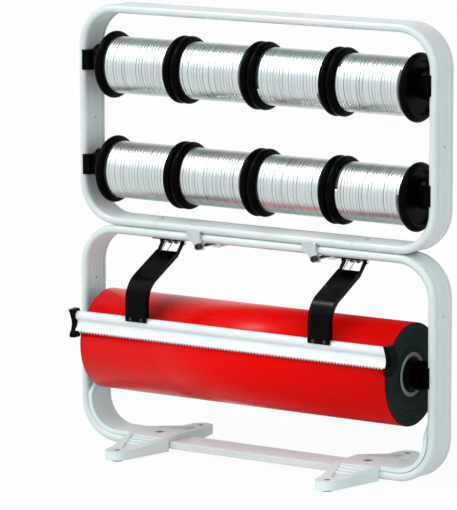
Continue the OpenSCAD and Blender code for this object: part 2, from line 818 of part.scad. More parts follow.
module rod(y, z) {
    xcyl(-rod_end_x + 1, y, z, 2 * rod_end_x - 2, rod_r, rod_r);
    for (s = [-1, 1]) xcyl(s > 0 ? rod_end_x - 1 : -rod_end_x, y, z, 1,
        s > 0 ? rod_r : rod_r - 1, s > 0 ? rod_r - 1 : rod_r);
}

module paper_axle() {
    color(steel) rod(-roll_fwd, roll_z);
}

// block that grips the front bead, seen in plan
module bearing_block() {
    back_y = block_h / 2;
    front_y = -bead_y - bead_r - nose_t;
    difference() {
        union() {
            translate([block_x, front_y + nose_round])
                square([inner_x - block_x, back_y - front_y - nose_round]);
            translate([block_x + nose_round, front_y])
                square([nose_end - nose_tip_round - block_x - nose_round, nose_round + 1]);
            translate([inner_x - 1, front_y + nose_tip_round])
                square([nose_end - inner_x + 1, -bead_y - front_y - nose_tip_round]);
            translate([block_x + nose_round, front_y + nose_round])
                circle(r = nose_round, $fn = 32);
            translate([nose_end - nose_tip_round, front_y + nose_tip_round])
                circle(r = nose_tip_round, $fn = 24);
        }
        translate([band_x, -bead_y]) circle(r = bead_r + seat_clear, $fn = 40);
    }
}

module bearing(y, z, r) {
    xcyl(hub_face_x, y, z, block_x - hub_face_x + 0.01, r, r);
    translate([0, 0, z - block_h / 2]) linear_extrude(block_h) bearing_block();
}

module roll_bearing() {
    difference() {
        bearing(-roll_fwd, roll_z, roll_hub_r);
        xcyl(hub_face_x - 1, -roll_fwd, roll_z, rod_end_x - hub_face_x + 1 + seat_clear,
            rod_r + seat_clear, rod_r + seat_clear);
    }
}

// ribbon bearings are open upwards, so that a rod lifts out of them
module ribbon_bearing(z) {
    difference() {
        bearing(0, z, hub_r);
        xcyl(hub_face_x - 1, 0, z, rod_end_x - hub_face_x + 1 + free_gap, slot_r, slot_r);
        translate([hub_face_x - 1, -slot_r, z])
            cube([rod_end_x - hub_face_x + 1 + free_gap, 2 * slot_r, hub_r + 1]);
    }
}

module left_roll_bearing() {
    color(black) mirror([1, 0, 0]) roll_bearing();
}

module right_roll_bearing() {
    color(black) roll_bearing();
}

// ---------- ribbon spools ----------
function spool_x(i) = spool_shift + (i - (spools_in_row + 1) / 2) * spool_pitch;

// a spool is a barrel between two flanges; x is the radius, y the way along
module flange_section() {
    h = spool_w / 2;
    rim = flange_w / 2;
    union() {
        translate([flange_r - rim, h - rim]) circle(r = rim, $fn = 40);
        translate([ribbon_core_r + 1, h - flange_w])
            square([flange_r - rim - ribbon_core_r - 1, flange_w]);
        translate([spool_bore_r, h - rim - flange_wall / 2])
            square([ribbon_core_r + 1.01 - spool_bore_r, flange_wall]);
    }
}

module spool(i, z) {
    barrel_half = spool_w / 2 - flange_w / 2 - flange_wall / 2 - seat_clear;
    translate([spool_x(i), 0, z]) rotate([0, 90, 0]) {
        rotate_extrude($fn = 96) flange_section();
        rotate_extrude($fn = 96) mirror([0, 1]) flange_section();
        rotate_extrude($fn = 96) translate([barrel_r - barrel_wall, -barrel_half])
            square([barrel_wall, 2 * barrel_half]);
    }
}

function ribbon_ring(i, a0) = let (a = a0 + 360 * i / ring_per_turn,
        x = -winding_w / 2 + turn_pitch * i / ring_per_turn)
    [for (q = [[0, ribbon_r - ribbon_t], [ribbon_w, ribbon_r - ribbon_t],
        [ribbon_w, ribbon_r], [0, ribbon_r]]) [x + q[0], q[1] * cos(a), q[1] * sin(a)]];
ribbon_n = ribbon_turns * ring_per_turn;
upper_starts = [0, 80, 200, 140];
lower_starts = [250, 30, 310, 170];
ribbon_rings = [for (i = [0 : ribbon_n]) ribbon_ring(i, 0)];
ribbon_self_gap = min([for (i = [0 : ribbon_n], k = [ring_per_turn - 2 : ring_per_turn + 2])
    if (i + k <= ribbon_n) for (p = ribbon_rings[i], q = ribbon_rings[i + k]) norm(p - q)]);
spring_points = spring_rings(0);
spring_self_gap = min([for (i = [1 : coil_n + 1],
        k = [coil_rings - 2 : coil_rings + 2]) if (i + k <= coil_n + 1)
    for (p = spring_points[i], q = spring_points[i + k]) norm(p - q)]);
echo(ribbon_self_gap = ribbon_self_gap, spring_self_gap = spring_self_gap);

module ribbon(i, z, starts) {
    color(silver) translate([spool_x(i), 0, z]) {
        difference() {
            xcyl(-winding_w / 2, 0, 0, winding_w, ribbon_core_r, ribbon_core_r);
            xcyl(-winding_w / 2 - 1, 0, 0, winding_w + 2, ribbon_core_r - ribbon_core_wall,
                ribbon_core_r - ribbon_core_wall);
        }
        tube([for (k = [0 : ribbon_n]) ribbon_ring(k, starts[i - 1])]);
    }
}

module upper_axle() {
    color(steel) rod(0, upper_spool_z + spool_drop);
}

module lower_axle() {
    color(steel) rod(0, lower_spool_z + spool_drop);
}

module upper_right_bearing() {
    color(black) ribbon_bearing(upper_spool_z + spool_drop);
}

module upper_left_bearing() {
    color(black) mirror([1, 0, 0]) ribbon_bearing(upper_spool_z + spool_drop);
}

module lower_right_bearing() {
    color(black) ribbon_bearing(lower_spool_z + spool_drop);
}

module lower_left_bearing() {
    color(black) mirror([1, 0, 0]) ribbon_bearing(lower_spool_z + spool_drop);
}

lower_frame();
upper_frame();
upper_joint_bar();
frame_screws();
cross_bar();
left_foot();
right_foot();
foot_pads();
toe_screws();
left_clamp_front();
right_clamp_front();
left_clamp_back();
right_clamp_back();
left_clamp_screw();
right_clamp_screw();
left_arm_bracket();
right_arm_bracket();
left_hinge_pin();
right_hinge_pin();
left_springs();
right_springs();
left_arm();
right_arm();
arm_rivets();
tear_rail();
tear_blade();
left_rail_cap();
right_rail_cap();
paper_roll();
paper_core();
left_cone();
right_cone();
paper_axle();
left_roll_bearing();
right_roll_bearing();
upper_axle();
upper_left_bearing();
upper_right_bearing();
lower_axle();
lower_left_bearing();
lower_right_bearing();
color(black) spool(1, upper_spool_z);  // spool_u1
color(black) spool(2, upper_spool_z);  // spool_u2
color(black) spool(3, upper_spool_z);  // spool_u3
color(black) spool(4, upper_spool_z);  // spool_u4
color(black) spool(1, lower_spool_z);  // spool_l1
color(black) spool(2, lower_spool_z);  // spool_l2
color(black) spool(3, lower_spool_z);  // spool_l3
color(black) spool(4, lower_spool_z);  // spool_l4
ribbon(1, upper_spool_z, upper_starts);  // ribbon_u1
ribbon(2, upper_spool_z, upper_starts);  // ribbon_u2
ribbon(3, upper_spool_z, upper_starts);  // ribbon_u3
ribbon(4, upper_spool_z, upper_starts);  // ribbon_u4
ribbon(1, lower_spool_z, lower_starts);  // ribbon_l1
ribbon(2, lower_spool_z, lower_starts);  // ribbon_l2
ribbon(3, lower_spool_z, lower_starts);  // ribbon_l3
ribbon(4, lower_spool_z, lower_starts);  // ribbon_l4
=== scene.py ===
# %% [markdown]
# # A counter-top dispenser for wrapping paper and ribbon
# The stand is two bent aluminium bands, one on the other, on two cast feet. A roll of
# red paper turns in the lower one, under a sprung tear-off rail, and eight spools of
# silver ribbon hang on two rods in the upper one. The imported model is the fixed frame:
# its nodes already have the right size and place, so this lesson gives them their
# finishes, and makes again only what a rigid solid can't show well.

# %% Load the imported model
import math
import random

import bmesh
import bpy
from mathutils import Matrix, Vector, noise


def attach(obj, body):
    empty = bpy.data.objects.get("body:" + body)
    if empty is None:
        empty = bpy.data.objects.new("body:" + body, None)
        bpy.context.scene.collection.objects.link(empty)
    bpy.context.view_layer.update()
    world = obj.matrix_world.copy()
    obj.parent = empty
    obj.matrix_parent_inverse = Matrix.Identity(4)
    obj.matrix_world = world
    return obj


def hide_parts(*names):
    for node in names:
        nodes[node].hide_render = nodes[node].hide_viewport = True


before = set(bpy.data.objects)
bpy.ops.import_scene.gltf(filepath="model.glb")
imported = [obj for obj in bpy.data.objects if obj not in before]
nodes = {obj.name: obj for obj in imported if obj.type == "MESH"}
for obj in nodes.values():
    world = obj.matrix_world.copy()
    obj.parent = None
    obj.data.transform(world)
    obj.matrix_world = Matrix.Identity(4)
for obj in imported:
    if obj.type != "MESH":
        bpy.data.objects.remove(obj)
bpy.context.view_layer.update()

# %% [markdown]
# ## The camera
# The photograph was taken from the right of the front and a little above, with a long
# lens: lines that run away from the camera hardly close up. The position, the direction
# and the lens come from a fit in which the width and the depth of the bands were assumed,
# 584 and 50 mm, and the other sizes were free or held loosely.
# The small shift sets the object a little right of the middle, as in the photograph.

# %% Camera
AZIMUTH, ELEVATION, ROLL = 33.709, 9.022, -0.037    # degrees
DISTANCE, TARGET_Z = 5.4886, 0.310                  # metres
LENS, SENSOR = 282.5, 36.0                          # millimetres
SHIFT_X, SHIFT_Y = -0.0657, -0.0280                 # parts of the sensor's width
FARTHEST = 60.0                                     # metres

az, el = math.radians(AZIMUTH), math.radians(ELEVATION)
out_dir = Vector((math.sin(az) * math.cos(el), -math.cos(az) * math.cos(el), math.sin(el)))
camera = bpy.data.objects.new("camera", bpy.data.cameras.new("camera"))
bpy.context.scene.collection.objects.link(camera)
camera.location = Vector((0, 0, TARGET_Z)) + out_dir * DISTANCE
turn = out_dir.to_track_quat("Z", "Y").to_matrix().to_4x4()
camera.rotation_euler = (turn @ Matrix.Rotation(math.radians(ROLL), 4, "Z")).to_euler()
camera.data.sensor_fit = "AUTO"
camera.data.sensor_width = SENSOR
camera.data.lens = LENS
camera.data.shift_x = SHIFT_X
camera.data.shift_y = SHIFT_Y
camera.data.clip_end = FARTHEST
bpy.context.scene.camera = camera
print("camera at", [round(v, 3) for v in camera.location])

# %% [markdown]
# ## Colours and nodes
# Colours are written as hex codes, as a paint chart gives them, and one function turns
# them into the linear values that shaders work in. A second function adds a node with
# its settings, its input values and its wires, so that a material reads as a short list.

# %% Two helpers for materials
def linear(code):
    """The linear RGBA of an sRGB hex colour."""
    parts = [int(code[i:i + 2], 16) / 255 for i in (1, 3, 5)]
    return [c / 12.92 if c <= 0.04045 else ((c + 0.055) / 1.055) ** 2.4
            for c in parts] + [1.0]


def add(tree, kind, inputs=None, **settings):
    """One shader node; an input is a value, or an output socket that is wired to it."""
    node = tree.nodes.new("ShaderNode" + kind)
    for name, value in settings.items():
        setattr(node, name, value)
    for name, value in (inputs or {}).items():
        if isinstance(value, bpy.types.NodeSocket):
            tree.links.new(value, node.inputs[name])
        else:
            node.inputs[name].default_value = value
    return node


MM = 0.001
print("the red of the paper is", [round(v, 3) for v in linear("#E00202")])

# %% [markdown]
# ## The white studio
# The object stands on a white table in front of a white wall, cut off by the light. A
# floor that only the lamps brighten would need more light than the object can take, so
# the floor shows its own white to the camera and to reflections, and mixes in a part of
# its real, shaded surface, which keeps a soft shadow under the feet. The Standard view
# shows a colour as it is written, with no film curve over it.

# %% Floor
bpy.context.scene.view_settings.view_transform = "Standard"
FLOOR_R = 14.0                  # metres
OWN_WHITE = 0.95                # what the floor shows of its own white, for the camera


def only_seen(tree):
    """1 for camera, glossy and transmission rays, 0 for the light on a surface."""
    path = add(tree, "LightPath")
    first = add(tree, "Math", {0: path.outputs["Is Camera Ray"],
                               1: path.outputs["Is Glossy Ray"]}, operation="MAXIMUM")
    return add(tree, "Math", {0: first.outputs[0],
                              1: path.outputs["Is Transmission Ray"]},
               operation="MAXIMUM").outputs[0]


floor_mesh = bpy.data.meshes.new("floor")
bm = bmesh.new()
bmesh.ops.create_circle(bm, cap_ends=True, segments=96, radius=FLOOR_R)
bm.to_mesh(floor_mesh)
bm.free()
floor = bpy.data.objects.new("floor", floor_mesh)
bpy.context.scene.collection.objects.link(floor)

white = bpy.data.materials.new("white_table")
white.use_nodes = True
tree = white.node_tree
tree.nodes.clear()
grain = add(tree, "TexNoise", {"Vector": add(tree, "TexCoord").outputs["Object"],
                               "Scale": 1 / (40 * MM), "Detail": 2.0})
tint = add(tree, "ValToRGB", {"Fac": grain.outputs["Fac"]})
tint.color_ramp.elements[0].color = linear("#DADCDC")
tint.color_ramp.elements[1].color = linear("#E2E4E4")
table = add(tree, "BsdfDiffuse", {"Color": tint.outputs["Color"]})
glow = add(tree, "Emission", {"Color": linear("#FFFFFF"), "Strength": 1.0})
share = add(tree, "Math", {0: only_seen(tree), 1: OWN_WHITE}, operation="MULTIPLY")
mixed = add(tree, "MixShader", {0: share.outputs[0], 1: table.outputs[0],
                                2: glow.outputs[0]})
add(tree, "OutputMaterial", {"Surface": mixed.outputs[0]})
floor_mesh.materials.append(white)
print("floor radius", FLOOR_R, "m")

# %% [markdown]
# ## The light
# A broad soft key stands left of the front, a weaker fill on the right, and the white
# room fills the shadows. Two soft boxes are there for their reflections alone: one
# overhead draws the line along the paper and over the bends of the black arms, and one
# in front draws the broad band on the ribbon. Their diffuse light is switched off, so
# that the colours stay as they are written. Silver film shows the whole room as bands, so
# what reflections see is drawn as an arc from the wall in front, over the ceiling, to the
# white backdrop behind: a light wall, a bright stretch above the camera, a dim ceiling.

# %% Room
world = bpy.data.worlds.new("white_room")
bpy.context.scene.world = world
world.use_nodes = True
tree = world.node_tree
tree.nodes.clear()
toward = add(tree, "SeparateXYZ", {"Vector": add(tree, "TexCoord").outputs["Generated"]})
front = add(tree, "Math", {0: toward.outputs["Y"], 1: -1.0}, operation="MULTIPLY")
arc = add(tree, "Math", {0: toward.outputs["Z"], 1: front.outputs[0]}, operation="ARCTAN2")
part = add(tree, "Math", {0: arc.outputs[0], 1: 1 / math.pi}, operation="MULTIPLY")
shades = add(tree, "ValToRGB", {"Fac": part.outputs[0]})
# From 0, level to the front, over 0.5, straight up, to 1, level to the back.
stops = [(0.0, "#F4F6FA"), (0.1, "#E2E8EE"), (0.2, "#FFFFFF"), (0.42, "#FFFFFF"),
         (0.52, "#7C8A87"), (0.74, "#5F6E6A"), (0.9, "#FFFFFF")]
while len(shades.color_ramp.elements) < len(stops):
    shades.color_ramp.elements.new(0.5)
for element, (place, code) in zip(shades.color_ramp.elements, stops):
    element.position = place
    element.color = linear(code)
seen = add(tree, "LightPath")
mirrored = add(tree, "Background", {"Color": shades.outputs["Color"], "Strength": 1.2})
plain_white = add(tree, "Background", {"Color": linear("#FFFFFF"), "Strength": 1.0})
fill = add(tree, "Background", {"Color": linear("#F6FBFF"), "Strength": 0.5})
not_lit = add(tree, "MixShader", {0: only_seen(tree), 1: fill.outputs[0],
                                  2: mirrored.outputs[0]})
both = add(tree, "MixShader", {0: seen.outputs["Is Camera Ray"], 1: not_lit.outputs[0],
                               2: plain_white.outputs[0]})
add(tree, "OutputWorld", {"Surface": both.outputs[0]})
print("room:", len(tree.nodes), "nodes")


# %% Lamps
def sun(name, azimuth, elevation, level, width):
    """A far lamp, with angles in degrees. Level 1 lights white to plain white."""
    lamp = bpy.data.lights.new(name, "SUN")
    lamp.energy = level * math.pi
    lamp.angle = math.radians(width)
    obj = bpy.data.objects.new(name, lamp)
    a, e = math.radians(azimuth), math.radians(elevation)
    way = Vector((math.sin(a) * math.cos(e), -math.cos(a) * math.cos(e), math.sin(e)))
    obj.rotation_euler = way.to_track_quat("Z", "Y").to_euler()
    obj.location = way * 3
    obj.visible_glossy = False
    bpy.context.scene.collection.objects.link(obj)


sun("key", azimuth=-28, elevation=38, level=0.56, width=50)
sun("side_fill", azimuth=62, elevation=22, level=0.27, width=60)


def soft_box(name, place, look_at, size, strength):
    """A rectangular lamp that only reflections see."""
    lamp = bpy.data.lights.new(name, "AREA")
    lamp.shape = "RECTANGLE"
    lamp.size, lamp.size_y = size
    lamp.energy = strength * size[0] * size[1] * math.pi
    obj = bpy.data.objects.new(name, lamp)
    obj.location = place
    aim = Vector(place) - Vector(look_at)
    obj.rotation_euler = aim.to_track_quat("Z", "Y").to_euler()
    obj.visible_diffuse = False
    obj.visible_camera = False
    bpy.context.scene.collection.objects.link(obj)


soft_box("overhead_box", place=(-0.7, -0.55, 1.85), look_at=(0.2, -0.05, 0.2),
         size=(0.35, 0.45), strength=30.0)
soft_box("front_box", place=(-1.35, -1.25, 1.75), look_at=(0, 0, 0.45),
         size=(1.9, 1.0), strength=0.9)

# %% [markdown]
# ## Paint on the bent bands
# The bands, the joint bar and the cross bar are extruded aluminium with a pale grey
# powder coat. Powder melts into a closed skin with a faint orange peel and a soft
# gloss. Peel is about a millimetre across, which is finer than a pixel here, so it is
# drawn at 3 mm and kept shallow. A second, wide noise shifts the grey by a hair, as a
# real coat does along a bar.

# %% A painted surface
def coords(tree, stretch=(1.0, 1.0, 1.0)):
    """Object coordinates in metres, squeezed along an axis where a pattern is stretched."""
    place = add(tree, "TexCoord").outputs["Object"]
    return add(tree, "Mapping", {"Vector": place, "Scale": stretch}).outputs["Vector"]


def new_material(name):
    mat = bpy.data.materials.new(name)
    mat.use_nodes = True
    mat.node_tree.nodes.clear()
    return mat, mat.node_tree


def mottled(tree, where, size, dark, light, low=0.35, high=0.65):
    """A noise of a real size in metres that runs between two hex colours."""
    blot = add(tree, "TexNoise", {"Vector": where, "Scale": 1 / size, "Detail": 3.0})
    ramp = add(tree, "ValToRGB", {"Fac": blot.outputs["Fac"]})
    for element, place, code in zip(ramp.color_ramp.elements, (low, high), (dark, light)):
        element.position = place
        element.color = linear(code)
    return ramp.outputs["Color"]


def varied(tree, where, size, low, high):
    """A noise of a real size that runs between two plain numbers."""
    blot = add(tree, "TexNoise", {"Vector": where, "Scale": 1 / size, "Detail": 3.0})
    return add(tree, "MapRange", {"Value": blot.outputs["Fac"], "From Min": 0.3,
                                  "From Max": 0.7, "To Min": low,
                                  "To Max": high}).outputs["Result"]


def peel(tree, where, size, depth, normal=None):
    """A bump whose hills are size apart and depth high, both in metres."""
    hills = add(tree, "TexNoise", {"Vector": where, "Scale": 1 / size, "Detail": 1.0})
    inputs = {"Height": hills.outputs["Fac"], "Distance": depth, "Strength": 1.0}
    if normal:
        inputs["Normal"] = normal
    return add(tree, "Bump", inputs).outputs["Normal"]


def soft_edge(tree, radius):
    """The normal with every edge rounded off by a small real radius."""
    return add(tree, "Bevel", {"Radius": radius}, samples=6).outputs["Normal"]


def painted(name, dark, light, roughness, peel_size, peel_depth, edge, gloss=0.5):
    """A powder coat: closed, softly shiny, with a faint peel."""
    mat, tree = new_material(name)
    where = coords(tree)
    skin = peel(tree, where, peel_size, peel_depth, soft_edge(tree, edge))
    shader = add(tree, "BsdfPrincipled", {
        "Base Color": mottled(tree, where, 60 * MM, dark, light),
        "Roughness": varied(tree, where, 25 * MM, roughness - 0.04, roughness + 0.04),
        "Specular IOR Level": gloss, "IOR": 1.5, "Normal": skin})
    add(tree, "OutputMaterial", {"Surface": shader.outputs["BSDF"]})
    return mat


band_coat = painted("powder_coated_aluminium", "#D3DEDC", "#D9E3E1", roughness=0.34,
                    peel_size=3 * MM, peel_depth=0.02 * MM, edge=0.6 * MM)
print("made", band_coat.name)

# %% [markdown]
# ## Cast feet and the rail
# The feet are die-cast, so the same paint lies over a slightly uneven skin: the hills
# are wider and the gloss is lower. The rail is an extrusion in a whiter coat.

# %% Cast coat and rail coat
cast_coat = painted("painted_die_casting", "#D3E7E6", "#DCEEED", roughness=0.42,
                    peel_size=6 * MM, peel_depth=0.06 * MM, edge=1.0 * MM)
rail_coat = painted("white_coated_extrusion", "#E2EAEA", "#E8F0F0", roughness=0.38,
                    peel_size=3 * MM, peel_depth=0.01 * MM, edge=0.5 * MM, gloss=0.35)
print("made", cast_coat.name, rail_coat.name)

# %% [markdown]
# ## Steel
# The rods are ground and zinc plated: a bright metal with fine rings round the rod, left
# by the grinding wheel. The clamps and pins are stamped or turned and plated alike. A
# metal gets its look from its colour and its roughness alone, so its IOR stays as it is.
# The rings are far finer than a pixel, so they are drawn 1.5 to 2 mm wide.

# %% Plated steel
def plated(name, dark, light, roughness, stretch):
    """A bright metal whose fine lines run where the stretch is small."""
    mat, tree = new_material(name)
    lines = coords(tree, stretch)
    shader = add(tree, "BsdfPrincipled", {
        "Base Color": mottled(tree, coords(tree), 12 * MM, dark, light),
        "Metallic": 1.0,
        "Roughness": varied(tree, lines, 2 * MM, roughness - 0.06, roughness + 0.08),
        "Normal": peel(tree, lines, 1.5 * MM, 0.004 * MM, soft_edge(tree, 0.3 * MM))})
    add(tree, "OutputMaterial", {"Surface": shader.outputs["BSDF"]})
    return mat


zinc = plated("zinc_plated_steel", "#C8CECF", "#D2D7D7", 0.3, (1.0, 0.3, 0.3))
blade_steel = plated("ground_blade_steel", "#C4CACC", "#D6DADB", 0.2, (0.3, 0.3, 4.0))
black_zinc = painted("blackened_steel", "#0D0F10", "#16191A", roughness=0.36,
                     peel_size=1.5 * MM, peel_depth=0.02 * MM, edge=0.3 * MM)
print("made", zinc.name, blade_steel.name, black_zinc.name)

# %% [markdown]
# The screws of the feet and brackets are black. Those at the seams of the upper frame
# were in place when it was coated, so their heads are as grey as the band. They are one
# node, so the height above the counter decides between the two colours.

# %% Frame screws
SEAM_Z = 312 * MM               # only the seam screws are above this height
COLOUR_A, COLOUR_B, MIXED = 6, 7, 2

screw_coat, tree = new_material("black_screws_and_coated_screws")
where = coords(tree)
height = add(tree, "SeparateXYZ", {"Vector": where}).outputs["Z"]
coated = add(tree, "Math", {0: height, 1: SEAM_Z}, operation="GREATER_THAN")
colour = add(tree, "Mix", {0: coated.outputs[0],
                           COLOUR_A: mottled(tree, where, 12 * MM, "#0A0B0C", "#131516"),
                           COLOUR_B: mottled(tree, where, 12 * MM, "#B9C5C3", "#C6D1CF")},
             data_type="RGBA")
shader = add(tree, "BsdfPrincipled", {
    "Base Color": colour.outputs[MIXED],
    "Roughness": varied(tree, where, 6 * MM, 0.32, 0.42), "Specular IOR Level": 0.35,
    "Normal": peel(tree, where, 1.5 * MM, 0.01 * MM, soft_edge(tree, 0.3 * MM))})
add(tree, "OutputMaterial", {"Surface": shader.outputs["BSDF"]})
print("made", screw_coat.name)

# %% [markdown]
# ## Black parts
# The arms and brackets are bent sheet steel in gloss black powder coat: deep black, with
# the soft boxes drawn sharply over the bends. The spools, bearings, cones and end caps
# are moulded ABS with a fine spark-eroded grain, which spreads the same light into a
# dull sheen. The pads are rubber and have hardly any shine.

# %% Gloss coat, moulded ABS, rubber
black_coat = painted("gloss_black_coat", "#010101", "#030404", roughness=0.2,
                     peel_size=3 * MM, peel_depth=0.015 * MM, edge=0.5 * MM, gloss=0.05)
black_abs = painted("moulded_black_abs", "#010101", "#030303", roughness=0.36,
                    peel_size=1.2 * MM, peel_depth=0.015 * MM, edge=0.6 * MM, gloss=0.03)
rubber = painted("black_rubber", "#101111", "#191A1A", roughness=0.75,
                 peel_size=1.5 * MM, peel_depth=0.05 * MM, edge=0.4 * MM, gloss=0.3)
print("made", black_coat.name, black_abs.name, rubber.name)

# %% [markdown]
# ## Red wrapping paper
# Coated gift-wrap is printed solid red and varnished: strongly coloured, smooth, with a
# clear reflection that softens along the roll because wound paper is never quite even.
# The bump is therefore long along the roll and short round it. A sheet is only 0.1 mm
# thick, far less than a pixel, so the rings of the cut edges are drawn 2.2 mm wide.

# %% Paper, its cut edges and the board core
ROLL_MIDDLE = Vector((0, -12 * MM, 152 * MM))

red_paper, tree = new_material("varnished_red_paper")
where = coords(tree)
along = coords(tree, (0.12, 1.0, 1.0))
ripple = peel(tree, along, 60 * MM, 0.05 * MM)
shader = add(tree, "BsdfPrincipled", {
    "Base Color": mottled(tree, along, 80 * MM, "#E00202", "#E80303"),
    "Roughness": varied(tree, where, 60 * MM, 0.24, 0.3),
    "Specular IOR Level": 0.08, "IOR": 1.5, "Normal": ripple})
add(tree, "OutputMaterial", {"Surface": shader.outputs["BSDF"]})


def ringed(name, codes, ring, roughness, depth):
    """Rings round the axis of the roll, with their width and depth in metres."""
    mat, tree = new_material(name)
    middle = add(tree, "Mapping", {
        "Vector": add(tree, "TexCoord").outputs["Object"],
        "Location": -ROLL_MIDDLE}).outputs["Vector"]
    split = add(tree, "SeparateXYZ", {"Vector": middle})
    flat = add(tree, "CombineXYZ", {"Y": split.outputs["Y"], "Z": split.outputs["Z"]})
    reach = add(tree, "VectorMath", {0: flat.outputs["Vector"]}, operation="LENGTH")
    layer = add(tree, "TexNoise", {"W": reach.outputs["Value"], "Scale": 1 / ring,
                                   "Detail": 4.0}, noise_dimensions="1D")
    patch = add(tree, "TexNoise", {"Vector": flat.outputs["Vector"],
                                   "Scale": 1 / (25 * MM), "Detail": 2.0})
    mix = add(tree, "Math", {0: patch.outputs["Fac"], 1: 0.35, 2: layer.outputs["Fac"]},
              operation="MULTIPLY_ADD")
    ramp = add(tree, "ValToRGB", {"Fac": mix.outputs[0]})
    ramp.color_ramp.elements[0].position = 0.42
    ramp.color_ramp.elements[1].position = 0.88
    for element, code in zip(ramp.color_ramp.elements, codes):
        element.color = linear(code)
    bump = add(tree, "Bump", {"Height": layer.outputs["Fac"], "Distance": depth,
                              "Strength": 1.0})
    shader = add(tree, "BsdfPrincipled", {
        "Base Color": ramp.outputs["Color"], "Roughness": roughness,
        "Specular IOR Level": 0.08, "Normal": bump.outputs["Normal"]})
    add(tree, "OutputMaterial", {"Surface": shader.outputs["BSDF"]})
    return mat


paper_edge = ringed("cut_paper_edges", ("#040C0B", "#223230"), 2.2 * MM, 0.7, 0.1 * MM)
board = ringed("grey_winding_board", ("#6B7675", "#8F9A98"), 1.2 * MM, 0.8, 0.1 * MM)
print("made", red_paper.name, paper_edge.name, board.name)

# %% [markdown]
# ## Silver ribbon
# Curling ribbon is polypropylene film with a metal layer under a clear face: a metal to
# the eye, softly blurred, with fine lengthwise lines from the rolls that drew it. The
# ribbon runs round the spool, so the lines are drawn as a noise that is short along the
# spool and long round it. Real lines are finer than a pixel, so these are 1 to 2 mm wide.

# %% Metallised film
film, tree = new_material("metallised_ribbon_film")
fine = coords(tree, (1.0, 0.02, 0.02))
shade = mottled(tree, fine, 1.6 * MM, "#B9C3C1", "#D3DBDA", 0.3, 0.5)
shader = add(tree, "BsdfPrincipled", {
    "Base Color": shade, "Metallic": 1.0,
    "Roughness": varied(tree, fine, 2.4 * MM, 0.26, 0.34),
    "Normal": peel(tree, fine, 1.3 * MM, 0.006 * MM)})
add(tree, "OutputMaterial", {"Surface": shader.outputs["BSDF"]})

# The same film painted darker: painted shade for the layer below, which is seen only in the
# gaps.
painted_shade_film, tree = new_material("painted_shade_ribbon_film")
fine = coords(tree, (1.0, 0.05, 0.05))
shader = add(tree, "BsdfPrincipled", {
    "Base Color": mottled(tree, fine, 1.5 * MM, "#59605F", "#8C9492"), "Metallic": 1.0,
    "Roughness": varied(tree, fine, 2 * MM, 0.4, 0.55)})
add(tree, "OutputMaterial", {"Surface": shader.outputs["BSDF"]})
print("made", film.name, painted_shade_film.name)

# %% [markdown]
# ## Finishes on the imported nodes
# Every node whose shape is right keeps it and only gets its finish. One table says which
# node is made of what by its whole name; the ribbon nodes, by the start of their names,
# get the film, and every other node the moulded ABS.

# %% Assign the finishes
finishes = [
    (band_coat, ("lower_frame", "upper_frame", "upper_joint_bar", "cross_bar")),
    (cast_coat, ("left_foot", "right_foot")),
    (rubber, ("foot_pads",)),
    (black_zinc, ("toe_screws", "left_clamp_screw", "right_clamp_screw", "arm_rivets",
                  "left_springs", "right_springs")),
    (screw_coat, ("frame_screws",)),
    (zinc, ("left_clamp_front", "right_clamp_front", "left_clamp_back",
            "right_clamp_back", "left_hinge_pin", "right_hinge_pin", "upper_axle",
            "lower_axle", "paper_axle")),
    (blade_steel, ("tear_blade",)),
    (rail_coat, ("tear_rail",)),
    (black_coat, ("left_arm", "right_arm", "left_arm_bracket", "right_arm_bracket")),
    (red_paper, ("paper_roll",)),
    (board, ("paper_core",)),
]
plain = {name: mat for mat, names in finishes for name in names}
for name, node in nodes.items():
    mat = plain.get(name, film if name.startswith("ribbon_") else black_abs)
    node.data.materials.clear()
    node.data.materials.append(mat)
print("finished", len(nodes), "nodes")

# %% [markdown]
# ## The ribbon on its spools
# Each spool carries narrow ribbon that was wound to and fro in many layers. Only the
# outer layer is seen: one band that climbs along the spool by its own width each turn.
# It could be faked by stripes on a drum, but its edges catch the light and its gaps are
# dark, so the band is made: a small cross section is spun round the rod while it moves
# along, which is what a spin with an offset does. Then every turn is pushed a little
# along and outwards by a smooth noise, so that some turns lap and some leave a gap.

# %% Helpers for pieces
def finished(bm, name, body, materials, replaces=(), smooth=True):
    """Turns a bmesh into a piece at the origin that rides on a body."""
    bmesh.ops.recalc_face_normals(bm, faces=bm.faces[:])
    mesh = bpy.data.meshes.new(name)
    bm.to_mesh(mesh)
    bm.free()
    for mat in materials:
        mesh.materials.append(mat)
    for face in mesh.polygons:
        face.use_smooth = smooth
    piece = bpy.data.objects.new(name, mesh)
    bpy.context.scene.collection.objects.link(piece)
    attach(piece, body)
    if replaces:
        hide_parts(*replaces)
    return piece


def drum(bm, profile, middle, steps):
    """A closed body of revolution about an axis along X; profile is (x, radius)."""
    rim = [bm.verts.new(middle + Vector((x, 0, r))) for x, r in profile]
    edges = [bm.edges.new(pair) for pair in zip(rim, rim[1:])]
    bmesh.ops.spin(bm, geom=rim + edges, cent=middle, axis=(1, 0, 0),
                   angle=2 * math.pi, steps=steps, use_merge=True, use_duplicate=False)
    bmesh.ops.remove_doubles(bm, verts=bm.verts[:], dist=1e-7)


print("helpers: finished, drum")

# %% The winding of one spool
WINDING_W = 102.8 * MM          # between the flanges
RIBBON_R = 40.0 * MM            # outside of the winding
BAND_R = RIBBON_R - 0.44 * MM   # underside of the outer layer before it is loosened
RIBBON_W = 4.9 * MM             # width of the ribbon
RIBBON_T = 0.14 * MM            # thickness of the band as drawn
EDGE_W = 0.4 * MM               # width of the slope at each edge of the ribbon
END_ROOM = 0.2 * MM             # between the last turn and a flange
TURNS, STEPS = 20, 72           # turns of the outer layer, steps in each
SHORT_SLIDE, LONG_SLIDE = 0.45 * MM, 0.4 * MM   # along the spool, at most
LIFT = 0.12 * MM                # away from the spool


